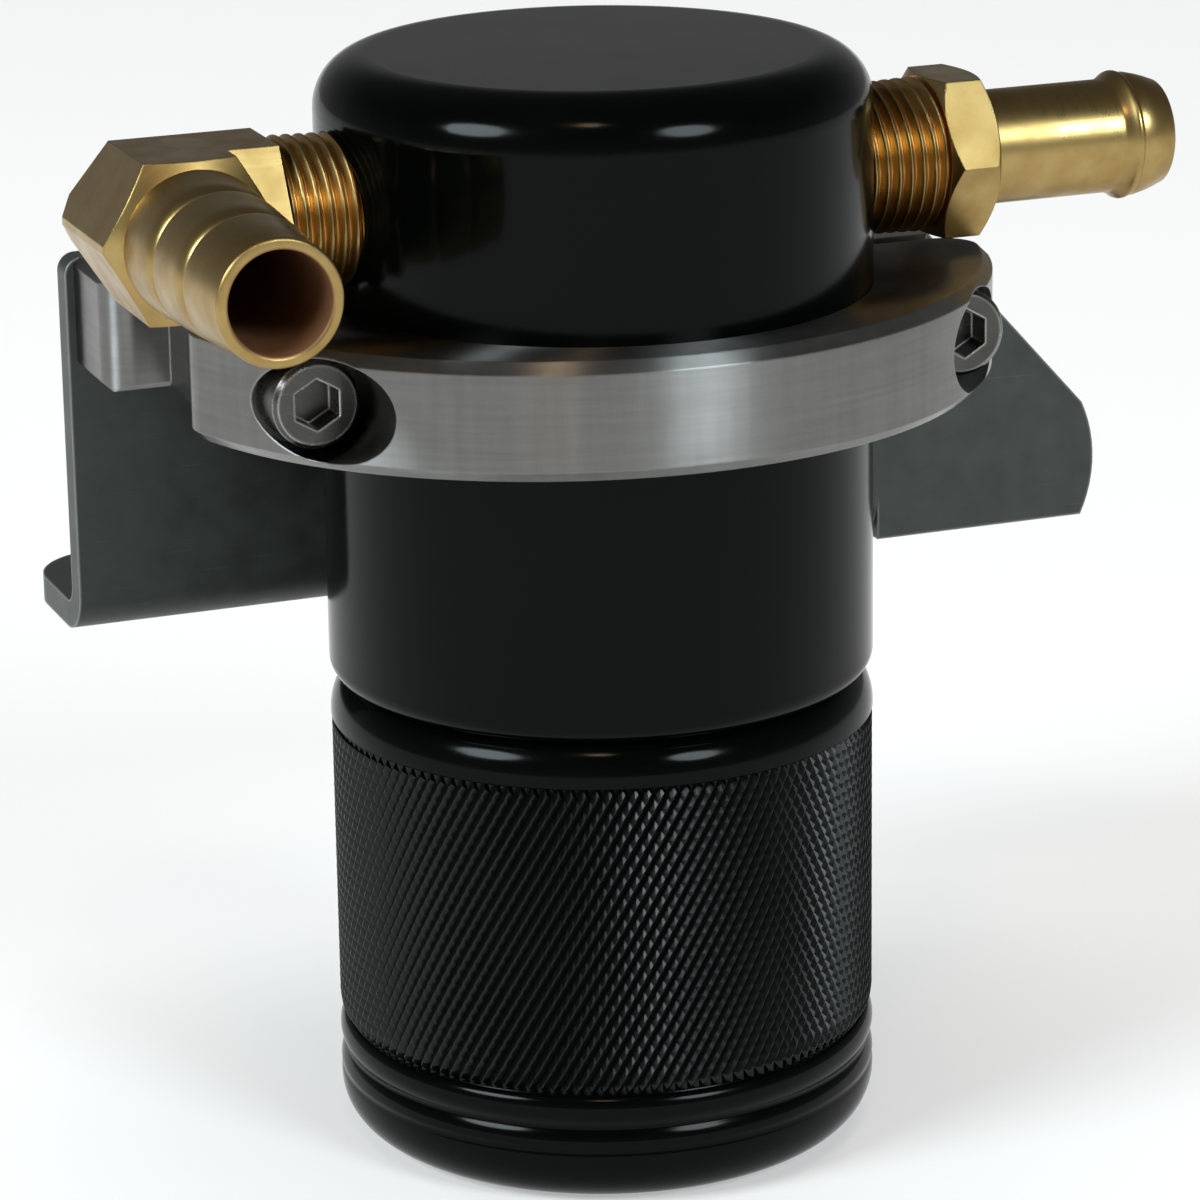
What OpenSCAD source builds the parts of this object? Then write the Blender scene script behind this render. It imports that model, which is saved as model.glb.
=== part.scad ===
// Oil catch can for an engine bay: a turned aluminium can with a knurled drain
// cup that unscrews, two brass hose fittings, a two-piece clamp and a folded
// bracket. Millimetres. The origin is the middle of the can's flat base, +Z runs
// up the can's axis, -Y is the front of the clamp and the bracket lies along X.

/* [Can] */
// Outside diameter of the can
can_dia = 60.3; // [54:0.1:72]
// Height of the body, from the seam to the can's flat top
body_height = 69.1; // [60:0.1:90]
// Radius of the rounded top edge
top_round = 5.8; // [3:0.1:7]
// Thickness of the closed top
top_thick = 6.7; // [5:0.1:9]
// Thickness of the body's wall round the upper chamber
chamber_wall = 7.35; // [7:0.05:9]
// Thickness of the body's wall round the filter
filter_wall = 6.15; // [5.8:0.05:6.4]
// Height of the middle of the ports below the flat top
port_drop = 15.1; // [13.4:0.1:15.3]

/* [Drain cup] */
// Height of the cup, from the base to the seam
cup_height = 52.9; // [40:0.1:70]
// Rounding of the body's edge at the seam
body_edge_round = 2.2; // [1:0.1:2.6]
// Rounding of the cup's edge at the seam
cup_edge_round = 3; // [1:0.1:3.2]
// Radius of the rounded bottom edge
base_round = 5.4; // [3:0.1:7]
// Thickness of the cup's floor
cup_floor = 5; // [4:0.1:8]
// Thickness of the cup's wall
cup_wall = 7.65; // [7.5:0.05:10]
// Thickness of the body's wall round the cup's thread
socket_wall = 4.15; // [4:0.05:4.4]
// Length of the threaded neck on the cup
neck_length = 9.5; // [9:0.1:12]
// Room left above the neck when the cup is closed
neck_room = 1; // [0.5:0.1:2]
// Thread pitch of the cup
cup_pitch = 1.5875; // [1.25:0.0125:2]
// Bottom of the knurled band above the base
knurl_bottom = 13; // [11:0.1:16]
// Smooth band between the knurling and the seam
knurl_top_gap = 4.8; // [4:0.1:8]
// Depth of the turned groove below the knurling
cup_groove_depth = 0.75; // [0.3:0.05:1.2]
// Width of the turned groove below the knurling
cup_groove_width = 2.4; // [1:0.1:3]
// Section diameter of the sealing ring
seal_section = 2.2; // [1.6:0.1:2.4]

/* [Filter] */
// Thickness of the baffle plate
baffle_thick = 2; // [1.5:0.1:3]
// Depth of the slots that hold the baffle plate
baffle_slot = 0.9; // [0.5:0.1:1.1]
// Distance from the middle of the ports down to the filter's seat
filter_drop = 19.6; // [19:0.1:26]
// Thickness of each perforated screen
screen_thick = 1.2; // [0.8:0.1:2]
// Diameter of the holes in the screens
screen_hole_dia = 3.2; // [2:0.1:3.6]
// Distance between neighbouring holes in the screens
screen_hole_pitch = 5.2; // [5:0.1:8]
// Thickness of the retaining ring
ring_thick = 1.3; // [1:0.1:1.8]
// Depth of the groove that holds the retaining ring
ring_groove = 1.1; // [0.8:0.1:1.3]
// Wall left between the retaining ring's groove and the cup's socket
ring_lip = 2.2; // [1.5:0.1:3]

/* [Fittings] */
// Outside diameter of the taper pipe thread at its large end
pipe_thread_dia = 17.15; // [16.5:0.05:17.4]
// Thread pitch of the pipe thread
pipe_pitch = 1.411; // [1.2:0.001:1.814]
// Length of thread that shows between the can and the straight fitting's hexagon
thread_show = 8.4; // [7:0.1:12]
// Length of thread that shows between the can and the elbow's body
elbow_show = 6.8; // [6:0.1:12]
// Length that the fittings reach into the upper chamber
thread_inside = 0.6; // [0.4:0.1:1.5]
// Size of the straight fitting's hexagon across its flats
hex_flats = 17.46; // [17.2:0.01:17.9]
// Size of the elbow's six-sided body across its flats
elbow_flats = 17.2; // [17.16:0.01:19]
// Distance from the middle of the elbow's body to its blunted outer sides
elbow_side = 9.7; // [8.8:0.1:9.8]
// Size of the cut across the elbow's outer corner
elbow_corner_cut = 2.4; // [0.5:0.1:4]
// Depth of the chamfers on the ends of both fittings' flats
flats_chamfer = 0.9; // [0.3:0.1:1.2]
// Length of the hexagon on the straight fitting
hex_length = 6; // [5:0.1:9]
// Outside diameter of the hose tube on the straight fitting
tube_dia = 12.7; // [12:0.1:13.5]
// Length of the hose tube from the hexagon to its open end
tube_length = 22.9; // [18:0.1:32]
// Diameter of the bead that keeps the hose on
bead_dia = 14.4; // [13.8:0.1:15]
// Bore of the straight fitting
straight_bore = 9.5; // [8:0.1:10.4]
// Distance from the elbow's thread to the middle of its body
elbow_run = 10.65; // [9:0.05:16]
// Distance from the middle of the elbow's body to the shoulder of its barb
elbow_shoulder = 9.5; // [9.2:0.1:14]
// Length of the elbow's hose barb, from its shoulder to its open end
barb_length = 28.5; // [24:0.1:36]
// Number of barbs
barb_count = 3; // [2:1:4]
// Diameter over the edge of the barb nearest the mouth
barb_dia = 14.4; // [14:0.1:15]
// Growth in diameter from each barb to the next one towards the body
barb_growth = 0.8; // [0:0.1:0.8]
// Depth of each barb, from its edge down to the foot of its cone
barb_depth = 0.8; // [0.4:0.05:0.9]
// Bore of the elbow
elbow_bore = 10.7; // [8:0.1:11]

/* [Clamp] */
// Distance from the middle of the ports down to the clamp's upper face
clamp_drop = 10.5; // [10.3:0.1:16]
// Thickness of both clamp halves
clamp_thick = 12.7; // [12:0.1:12.8]
// Thickness of the clamp in front of the can
clamp_wall = 6.05; // [5:0.05:9]
// Distance from the can's axis back to the middle of the front half's arc
clamp_arc_back = 12; // [11:0.1:16]
// Distance from the can's axis back to the front half's ends
clamp_end_back = 4; // [3:0.1:6]
// Radius of the front half's outer corners
clamp_corner = 5; // [3:0.1:6]
// Gap between the two clamp halves
clamp_split = 1.2; // [0.8:0.1:3]
// Chamfer round the edges of the clamp
clamp_chamfer = 1.2; // [0.4:0.1:1.6]
// Distance from each clamp screw to the end of the rear half's bar
bar_end = 12.2; // [9:0.1:20]
// Depth of the rear half's bar, from front to back
bar_depth = 12.7; // [11:0.1:16]
// Thickness of clamp between the can and the bracket
bar_web = 3.9; // [3:0.1:6]
// Distance from each clamp screw to the outside of its arm
arm_end = 5; // [4.8:0.1:8]
// Radius of the bar's front corners
bar_corner = 3.2; // [1:0.1:4]
// Wall between the can and the holes for the clamp screws
clamp_screw_wall = 3.4; // [2:0.1:4.2]
// Thickness of the front half under the clamp screws' heads
clamp_ear = 13.1; // [8:0.1:14]
// Length of the clamp screws under their heads
clamp_screw_length = 38.1; // [34:0.1:39]

/* [Screws] */
// Thread diameter of all screws
screw_dia = 6.35; // [6:0.05:6.4]
// Head diameter of the clamp screws
cap_head_dia = 9.53; // [9:0.01:10]
// Head height of the clamp screws
cap_head_height = 6.35; // [5:0.05:6.6]
// Hexagon of the clamp screws across its flats
cap_hex = 4.76; // [4:0.01:5]
// Diameter of the seats that the clamp screws' heads sit in
seat_dia = 11.1; // [10.4:0.1:11.2]
// Head diameter of the bracket screws
button_dia = 11.1; // [10:0.1:12]
// Head height of the bracket screws
button_height = 3.35; // [3:0.05:4]
// Hexagon of the bracket screws across its flats
button_hex = 3.97; // [3.5:0.01:4.2]
// Length of the bracket screws under their heads
button_length = 15.9; // [12.7:0.1:16.6]
// Distance from each clamp screw in to the bracket screw beside it
button_inset = 15.05; // [13:0.05:17]
// Outside diameter of the flat washers
washer_dia = 15.9; // [13:0.1:18]
// Thickness of the flat washers
washer_thick = 1.6; // [1:0.1:2]
// Outside diameter of the spring washers
spring_washer_dia = 12.3; // [11.4:0.1:13]
// Thickness of the spring washers
spring_washer_thick = 1.6; // [1.2:0.1:2]

/* [Bracket] */
// Thickness of the bracket's sheet
sheet_thick = 3.2; // [2:0.1:4]
// How far the bracket stands out past the clamp's left end
plate_left_over = 1; // [0.2:0.1:12]
// How far the bracket reaches past the clamp's right end
plate_right_over = 28.6; // [16:0.1:50]
// Height of the bracket
plate_height = 44.4; // [30:0.1:60]
// Distance from the clamp's right end back to the slanted edge and to the end of the foot
slant_inset = 0.2; // [0.1:0.1:8]
// Height of the bracket's right end
end_height = 14.2; // [12:0.1:20]
// Bulge of the bracket's right end
end_bulge = 1.6; // [0.8:0.1:3]
// Radius of the upper left corner
plate_corner = 2; // [1:0.1:6]
// Radius inside the fold
fold_radius = 2.4; // [1:0.1:4]
// Depth of the foot, from the face of the bracket that the clamp sits on
foot_depth = 24; // [20:0.1:40]
// Radius of the foot's rear corners
foot_corner = 9; // [4:0.1:10]
// Distance between the mounting holes in the foot
foot_hole_spacing = 63.5; // [50:0.1:70]
// Diameter of the mounting holes in the foot
foot_hole_dia = 7.1; // [6.4:0.1:8.4]
// Distance from the foot's rear edge to the middle of its mounting holes
foot_hole_inset = 10.5; // [8:0.1:12]

/* [Hidden] */
$fn = 96;
// Cut-outs and joining shapes reach this far past the face they meet, so that no skin is left
past = 1;
// Room round a part that slides or turns in its bore
running_gap = 0.1;
// Room round a part that is dropped into its seat
seat_gap = 0.05;
// Room round a screw that passes through a plain hole
hole_gap = 0.25;
// Room round a disc or plate that slides loosely into the body
loose_gap = 0.15;
// Room past the tip of a screw in its tapped hole
tip_room = 1.5;

can_r = can_dia / 2;
can_height = cup_height + body_height;
chamber_r = can_r - chamber_wall;
filter_bore_r = can_r - filter_wall;
port_z = can_height - port_drop;
chamber_top = can_height - top_thick;

socket_r = can_r - socket_wall;
neck_r = socket_r - running_gap;
socket_top = cup_height + neck_length + neck_room;
cup_bore_r = can_r - cup_wall;
cup_bore_round = 3;
knurl_top = cup_height - knurl_top_gap;
// The band that carries the knurling is turned down by this much
knurl_recess = 0.15;
// Plain lands on the neck, below and above the seal's groove
neck_land = 0.9;
seal_room = 0.4;
seal_groove_width = seal_section + seal_room;
seal_groove_z = cup_height + neck_land;
seal_outer_r = socket_r - seat_gap;
seal_groove_r = seal_outer_r - seal_section - seat_gap;
thread_depth = 0.54 * cup_pitch;
thread_relief_z = seal_groove_z + seal_groove_width + neck_land;
thread_relief = 0.6;
neck_lead = 0.8;

// The filter stack, from the retaining ring up to its seat under the chamber
ring_z = socket_top + ring_lip;
ring_groove_r = filter_bore_r + ring_groove;
lower_screen_z = ring_z + ring_thick;
mesh_z = lower_screen_z + screen_thick;
filter_seat_z = port_z - filter_drop;
upper_screen_z = filter_seat_z - screen_thick;
mesh_height = upper_screen_z - mesh_z;
screen_r = filter_bore_r - loose_gap;
mesh_r = filter_bore_r - running_gap;
screen_rim = 2.2;
screen_hole_reach = screen_r - screen_hole_dia / 2 - screen_rim;
screen_rings = floor(screen_hole_reach / screen_hole_pitch);
ring_outer_r = ring_groove_r - running_gap;
ring_width = 2.4;
ring_lug_r = 2.2;
ring_lug_hole = 1.6;
ring_lug_inset = 0.6;
ring_opening = 9;

// The pipe thread narrows by one in thirty-two on its radius
taper = 1 / 32;
pipe_r = pipe_thread_dia / 2;
pipe_depth = 0.6 * pipe_pitch;
thread_start_x = can_r + thread_show;
elbow_start_x = can_r + elbow_show;
thread_end_x = chamber_r - thread_inside;
thread_length = thread_start_x - thread_end_x;
elbow_reach = elbow_start_x + elbow_run;
straight_end_x = thread_start_x + hex_length + tube_length;
// The bead rises steeply towards the hexagon and falls slowly to the open end
bead_run = 6.2;
bead_rise = 1.3;
bead_ease = 0.25;
hex_flat_r = hex_flats / 2;
elbow_flat_r = elbow_flats / 2;
tube_r = tube_dia / 2;
// The barbs rise steeply on the side of the body, and the mouth ends in a small lip
barb_rise = 0.5;
barb_land = 0.6;
barb_mouth = 0.8;
barb_lip = 0.25;
barb_pitch = (barb_length - barb_mouth) / barb_count;

clamp_bore_r = can_r + seat_gap;
clamp_top = port_z - clamp_drop;
clamp_height = clamp_top - clamp_thick;
clamp_mid_z = clamp_height + clamp_thick / 2;
clamp_arc = can_r + clamp_wall + clamp_arc_back;
plate_y = clamp_bore_r + bar_web;
bar_front_y = plate_y - bar_depth;
arm_front_y = clamp_end_back + clamp_split;
bar_chamfer = clamp_chamfer * 2 / 3;
screw_r = screw_dia / 2;
tapped_r = screw_r + seat_gap;
clearance_r = screw_r + hole_gap;
clamp_screw_x = clamp_bore_r + clamp_screw_wall + clearance_r;
button_x = clamp_screw_x - button_inset;
clamp_seat_y = clamp_end_back - clamp_ear;
bar_half_width = clamp_screw_x + bar_end;
arm_half_width = clamp_screw_x + arm_end;
// Middle of the front half's corner rounding, inside its arc and its end face
corner_y = clamp_end_back - clamp_corner;
corner_x = sqrt(pow(clamp_arc - clamp_corner, 2) - pow(clamp_arc_back - corner_y, 2));
corner_angle = atan2(corner_y - clamp_arc_back, corner_x);

plate_back_y = plate_y + sheet_thick;
plate_left = bar_half_width + plate_left_over;
plate_right = bar_half_width + plate_right_over;
plate_bottom = clamp_top - plate_height;
slant_start = bar_half_width - slant_inset;
foot_right = slant_start;
end_x = plate_right - end_bulge;
end_arc_r = (pow(end_height / 2, 2) + pow(end_bulge, 2)) / (2 * end_bulge);
// The slanted edge runs on past the bracket's end, where the end's arc cuts it off
slant_far_x = plate_right + past;
slant_slope = (clamp_top - plate_bottom - end_height) / (end_x - slant_start);
slant_far_z = plate_bottom + end_height - slant_slope * (slant_far_x - end_x);
fold_outer = fold_radius + sheet_thick;
foot_back_y = plate_y + foot_depth;
foot_mid_x = (foot_right - plate_left) / 2;
foot_hole_y = foot_back_y - foot_hole_inset;

black = "#17191a";
brass = "#c9a24a";
aluminium = "#c3c6c9";
steel = "#6f7473";
dark_steel = "#3c3f41";

// A ring section at radius r_in to r_out, from z0 up to z1
module tube(r_in, r_out, z0, z1) {
    translate([0, 0, z0]) difference() {
        cylinder(r = r_out, h = z1 - z0);
        translate([0, 0, -past]) cylinder(r = r_in, h = z1 - z0 + 2 * past);
    }
}

// A flat disc whose two edges are chamfered
module chamfered_disc(r, h, c) {
    rotate_extrude() polygon([[0, 0], [r - c, 0], [r, c], [r, h - c], [r - c, h], [0, h]]);
}

// A cylinder that lies along Y, from y0 to y1, at the given x and z
module bore_y(x, z, r, y0, y1) {
    translate([x, y0, z]) rotate([-90, 0, 0]) cylinder(r = r, h = y1 - y0);
}

// A bar with a regular outline of the given number of sides, along Z, one side facing +X
module prism(sides, flat_r, length) {
    corner_r = flat_r / cos(180 / sides);
    linear_extrude(length) polygon([for (i = [0 : sides - 1])
        corner_r * [cos((i + 0.5) * 360 / sides), sin((i + 0.5) * 360 / sides)]]);
}

// The taper thread as turned V grooves, along +Z, with its large end at z = 0
function thread_points(length) = [for (i = [0 : floor(length / pipe_pitch) - 1])
    let (z = i * pipe_pitch, r = pipe_r - taper * z)
    each [[r, z], [r, z + 0.12 * pipe_pitch], [r - pipe_depth, z + 0.5 * pipe_pitch],
        [r - pipe_depth, z + 0.62 * pipe_pitch]]];

module pipe_thread(length) {
    tip_r = pipe_r - taper * length - pipe_depth;
    rotate_extrude() polygon(concat([[0, 0]], thread_points(length),
        [[tip_r, length], [0, length]]));
}

// Turned can body: closed rounded top, two taper ports, filter bore and cup socket
module can_body() {
    color(black) difference() {
        rotate_extrude() union() {
            translate([0, cup_height]) square([can_r - body_edge_round, body_edge_round]);
            translate([0, cup_height + body_edge_round])
                square([can_r, can_height - top_round - cup_height - body_edge_round]);
            translate([0, can_height - top_round]) square([can_r - top_round, top_round]);
            intersection() {
                translate([can_r - top_round, can_height - top_round]) circle(r = top_round);
                translate([can_r - top_round, can_height - top_round]) square(top_round);
            }
            intersection() {
                translate([can_r - body_edge_round, cup_height + body_edge_round])
                    circle(r = body_edge_round);
                translate([can_r - body_edge_round, cup_height]) square(body_edge_round);
            }
        }
        translate([0, 0, cup_height - past])
            cylinder(r = socket_r, h = socket_top - cup_height + past);
        translate([0, 0, socket_top - past])
            cylinder(r = filter_bore_r, h = filter_seat_z - socket_top + past);
        translate([0, 0, filter_seat_z - past])
            cylinder(r = chamber_r, h = chamber_top - filter_seat_z + past);
        translate([0, 0, ring_z - seat_gap])
            cylinder(r = ring_groove_r, h = ring_thick + 2 * seat_gap);
        baffle_slots();
        port_cut(thread_show);
        mirror([1, 0, 0]) port_cut(elbow_show);
    }
}

// Taper hole through the wall on the +X side, for a fitting that shows this much thread
module port_cut(show) {
    reach = can_r - thread_end_x + 2 * past;
    outer_r = pipe_r - (show - past) * taper + seat_gap;
    translate([can_r + past, 0, port_z]) rotate([0, -90, 0])
        cylinder(r1 = outer_r, r2 = outer_r - reach * taper, h = reach);
}

// The two upright slots that the baffle plate slides up into
module baffle_slots() {
    width = baffle_thick + 2 * seat_gap;
    intersection() {
        translate([-width / 2, -can_r, filter_seat_z - past])
            cube([width, can_dia, chamber_top - filter_seat_z + past]);
        translate([0, 0, filter_seat_z - 2 * past])
            cylinder(r = chamber_r + baffle_slot, h = can_height);
    }
}

// Knurled drain cup with its threaded neck and seal groove
module drain_cup() {
    groove_top = knurl_bottom;
    groove_low = knurl_bottom - cup_groove_width;
    groove_mid = (groove_top + groove_low) / 2;
    knurl_r = can_r - knurl_recess;
    color(black) difference() {
        union() {
            rotate_extrude() union() {
                square([can_r - base_round, base_round]);
                intersection() {
                    translate([can_r - base_round, base_round]) circle(r = base_round);
                    translate([can_r - base_round, 0]) square(base_round);
                }
                polygon([[0, base_round], [can_r, base_round], [can_r, groove_low],
                    [can_r - cup_groove_depth, groove_mid], [knurl_r, groove_top],
                    [knurl_r, knurl_top], [can_r, knurl_top],
                    [can_r, cup_height - cup_edge_round], [0, cup_height - cup_edge_round]]);
                translate([0, cup_height - cup_edge_round])
                    square([can_r - cup_edge_round, cup_edge_round]);
                intersection() {
                    translate([can_r - cup_edge_round, cup_height - cup_edge_round])
                        circle(r = cup_edge_round);
                    translate([can_r - cup_edge_round, cup_height - cup_edge_round])
                        square(cup_edge_round);
                }
            }
            cup_neck();
        }
        rotate_extrude() union() {
            translate([0, cup_floor]) square([cup_bore_r - cup_bore_round, cup_bore_round]);
            translate([0, cup_floor + cup_bore_round]) square([cup_bore_r, can_height]);
            intersection() {
                translate([cup_bore_r - cup_bore_round, cup_floor + cup_bore_round])
                    circle(r = cup_bore_round);
                translate([cup_bore_r - cup_bore_round, cup_floor]) square(cup_bore_round);
            }
        }
        tube(seal_groove_r, can_r, seal_groove_z, seal_groove_z + seal_groove_width);
    }
}

// Threaded neck on top of the cup, its thread turned as plain grooves
module cup_neck() {
    thread_z = thread_relief_z + thread_relief;
    top_z = cup_height + neck_length;
    turns = floor((top_z - neck_lead - thread_z) / cup_pitch);
    rotate_extrude() polygon(concat(
        [[0, cup_height - past], [neck_r, cup_height - past], [neck_r, thread_relief_z],
            [neck_r - thread_depth, thread_relief_z]],
        [for (i = [0 : turns - 1]) let (z = thread_z + i * cup_pitch)
            each [[neck_r - thread_depth, z], [neck_r, z + 0.44 * cup_pitch],
                [neck_r, z + 0.56 * cup_pitch], [neck_r - thread_depth, z + cup_pitch]]],
        [[neck_r - neck_lead, top_z], [0, top_z]]));
}

// Rubber ring in the neck's groove
module cup_seal() {
    color("#101010") translate([0, 0, seal_groove_z + seal_groove_width / 2])
        rotate_extrude() translate([seal_outer_r - seal_section / 2, 0])
            circle(r = seal_section / 2, $fn = 32);
}

// Plate that parts the chamber, so that the air goes down through the mesh and up again
module baffle_plate() {
    height = chamber_top - filter_seat_z - loose_gap;
    width = 2 * (chamber_r + baffle_slot - loose_gap);
    color(aluminium) intersection() {
        translate([-baffle_thick / 2, -width / 2, filter_seat_z])
            cube([baffle_thick, width, height]);
        translate([0, 0, filter_seat_z - past]) cylinder(r = width / 2, h = can_height);
    }
}

// Perforated screen, its holes on rings of six, twelve, eighteen and so on
module screen(z) {
    color(aluminium) translate([0, 0, z]) difference() {
        cylinder(r = screen_r, h = screen_thick);
        for (ring = [0 : screen_rings])
            for (i = [0 : max(6 * ring, 1) - 1])
                rotate([0, 0, i * 60 / max(ring, 1)])
                    translate([ring * screen_hole_pitch, 0, -past])
                        cylinder(r = screen_hole_dia / 2, h = screen_thick + 2 * past, $fn = 24);
    }
}

module upper_screen() {
    screen(upper_screen_z);
}

module lower_screen() {
    screen(lower_screen_z);
}

// Pad of knitted stainless wire
module filter_mesh() {
    color("#9b9fa1") translate([0, 0, mesh_z]) cylinder(r = mesh_r, h = mesh_height);
}

// Spring ring with two holed lugs, which holds the filter up in its bore
module retaining_ring() {
    lug_angle = atan2(ring_opening / 2 + ring_lug_r, ring_outer_r - ring_lug_r);
    lug_x = ring_outer_r - ring_lug_r - ring_lug_inset;
    color(dark_steel) difference() {
        union() {
            difference() {
                tube(ring_outer_r - ring_width, ring_outer_r, ring_z, ring_z + ring_thick);
                translate([0, -ring_opening / 2, ring_z - past])
                    cube([can_r, ring_opening, ring_thick + 2 * past]);
            }
            for (side = [-1, 1]) rotate([0, 0, side * lug_angle])
                translate([lug_x, 0, ring_z]) cylinder(r = ring_lug_r, h = ring_thick);
        }
        for (side = [-1, 1]) rotate([0, 0, side * lug_angle])
            translate([lug_x, 0, ring_z - past])
                cylinder(r = ring_lug_hole / 2, h = ring_thick + 2 * past);
    }
}

// Right fitting: taper thread, hexagon and beaded hose tube, turned from one bar
module straight_fitting() {
    length = hex_length + tube_length;
    color(brass) translate([thread_start_x, 0, port_z]) rotate([0, 90, 0]) difference() {
        union() {
            mirror([0, 0, 1]) pipe_thread(thread_length);
            intersection() {
                rotate([0, 0, 30]) prism(6, hex_flat_r, hex_length);
                chamfered_bar(hex_flat_r, hex_length, flats_chamfer);
            }
            beaded_tube(length);
        }
        translate([0, 0, -thread_length - past])
            cylinder(r = straight_bore / 2, h = thread_length + length + 2 * past);
    }
}

// Hose tube from inside the hexagon to the open end, with its bead and rounded nose
module beaded_tube(end) {
    start = end - bead_run;
    bead_r = bead_dia / 2;
    crest = start + bead_rise;
    nose = 1.1;
    rotate_extrude() polygon([[0, hex_length / 2], [tube_r, hex_length / 2], [tube_r, start],
        [bead_r - bead_ease, crest - bead_ease], [bead_r, crest + bead_ease],
        [bead_r - bead_ease / 2, crest + 3 * bead_ease],
        [tube_r - bead_ease, end - nose], [tube_r - nose / 2, end - nose / 4],
        [tube_r - nose, end], [0, end]]);
}

// Left fitting: a one-piece brass elbow with a six-sided body and a hose barb to the front
module elbow_fitting() {
    thread_run = elbow_start_x - thread_end_x;
    color(brass) translate([-elbow_reach, 0, port_z]) difference() {
        union() {
            translate([elbow_run, 0, 0]) rotate([0, 90, 0]) pipe_thread(thread_run);
            elbow_body();
            translate([0, -elbow_shoulder, 0]) rotate([90, 0, 0]) hose_barb();
        }
        bore_y(0, 0, elbow_bore / 2, -elbow_shoulder - barb_length - past, 0);
        sphere(r = elbow_bore / 2);
        rotate([0, 90, 0]) cylinder(r = straight_bore / 2, h = elbow_run + thread_run + past);
    }
}

// Mitred six-sided body: one arm towards the can and one to the front, flats up and down
module elbow_body() {
    over = 2 * elbow_flat_r;
    front_length = elbow_shoulder + over;
    intersection() {
        union() {
            intersection() {
                translate([-over, 0, 0]) rotate([0, 90, 0])
                    prism(6, elbow_flat_r, elbow_run + over);
                mitre_side(1);
            }
            intersection() {
                translate([0, over, 0]) rotate([90, 0, 0]) rotate([0, 0, 90])
                    prism(6, elbow_flat_r, front_length);
                translate([0, over, 0]) rotate([90, 0, 0])
                    chamfered_bar(elbow_flat_r - flats_chamfer, front_length, 2 * flats_chamfer);
                mitre_side(-1);
            }
        }
        elbow_outline();
    }
}

// Half space on one side of the elbow's mitre, from the inner corner to the outer one
module mitre_side(side) {
    size = 8 * elbow_flat_r;
    rotate([0, 0, 45]) translate([side > 0 ? 0 : -size, -size / 2, -size / 2]) cube(size);
}

// The elbow's body seen from above: both outer sides blunted and the outer corner cut off
module elbow_outline() {
    s = elbow_side;
    near = max(elbow_run, s);
    translate([0, 0, -can_height / 2]) linear_extrude(can_height)
        polygon([[-s, s - elbow_corner_cut], [elbow_corner_cut - s, s], [near, s],
            [near, -elbow_shoulder - past], [-s, -elbow_shoulder - past]]);
}

// Turned bar of a six-sided bar's corner size whose ends are coned down to the given radius
module chamfered_bar(end_r, length, run) {
    corner_r = end_r + run * tan(60);
    rotate_extrude() polygon([[0, 0], [end_r, 0], [corner_r, run], [corner_r, length - run],
        [end_r, length], [0, length]]);
}

// Radius over the edge of one barb, counted from the body
function barb_edge(i) = (barb_dia + (barb_count - 1 - i) * barb_growth) / 2;

// Hose barb along +Z: cones that widen towards the body, each with a steep rear edge
module hose_barb() {
    foot_r = barb_edge(0) - barb_depth;
    lip_r = barb_dia / 2 - barb_depth + barb_lip;
    rotate_extrude() polygon(concat([[0, -past], [foot_r, -past], [foot_r, 0]],
        [for (i = [0 : barb_count - 1]) let (z = i * barb_pitch, r = barb_edge(i))
            each [[r, z + barb_rise], [r, z + barb_rise + barb_land],
                [r - barb_depth, z + barb_pitch]]],
        [[lip_r, barb_length - barb_mouth + barb_lip], [lip_r, barb_length - barb_lip],
            [lip_r - barb_lip, barb_length], [0, barb_length]]));
}

// Front half of the clamp: a crescent with two counterbored ears
module clamp_front() {
    color(aluminium) difference() {
        union() {
            difference() {
                intersection() {
                    translate([0, clamp_arc_back, clamp_height])
                        chamfered_disc(clamp_arc, clamp_thick, clamp_chamfer);
                    ear_slab();
                }
                for (side = [0, 1]) mirror([side, 0, 0]) corner_wedge(past);
            }
            for (side = [0, 1]) mirror([side, 0, 0]) intersection() {
                corner_wedge(0);
                translate([corner_x, corner_y, clamp_height])
                    chamfered_disc(clamp_corner, clamp_thick, clamp_chamfer);
            }
        }
        translate([0, 0, clamp_height - past])
            cylinder(r = clamp_bore_r, h = clamp_thick + 2 * past);
        for (side = [-1, 1]) {
            bore_y(side * clamp_screw_x, clamp_mid_z, clearance_r, -clamp_arc, clamp_arc);
            bore_y(side * clamp_screw_x, clamp_mid_z, seat_dia / 2, -clamp_arc,
                clamp_seat_y);
        }
    }
}

// Everything in front of the crescent's end faces, with those faces' edges chamfered
module ear_slab() {
    c = clamp_chamfer;
    translate([-clamp_arc - past, 0, clamp_height]) rotate([90, 0, 90])
        linear_extrude(2 * (clamp_arc + past)) polygon([[-clamp_arc, 0],
            [clamp_end_back - c, 0], [clamp_end_back, c], [clamp_end_back, clamp_thick - c],
            [clamp_end_back - c, clamp_thick], [-clamp_arc, clamp_thick]]);
}

// Sector between the end face and the arc, about the middle of the corner rounding
module corner_wedge(over) {
    reach = 3 * clamp_corner;
    edge = reach * [cos(corner_angle), sin(corner_angle)];
    translate([corner_x, corner_y, clamp_height - over])
        linear_extrude(clamp_thick + 2 * over)
            polygon([[0, 0], edge, [2 * reach, 0], [reach, reach], [0, reach]]);
}

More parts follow.
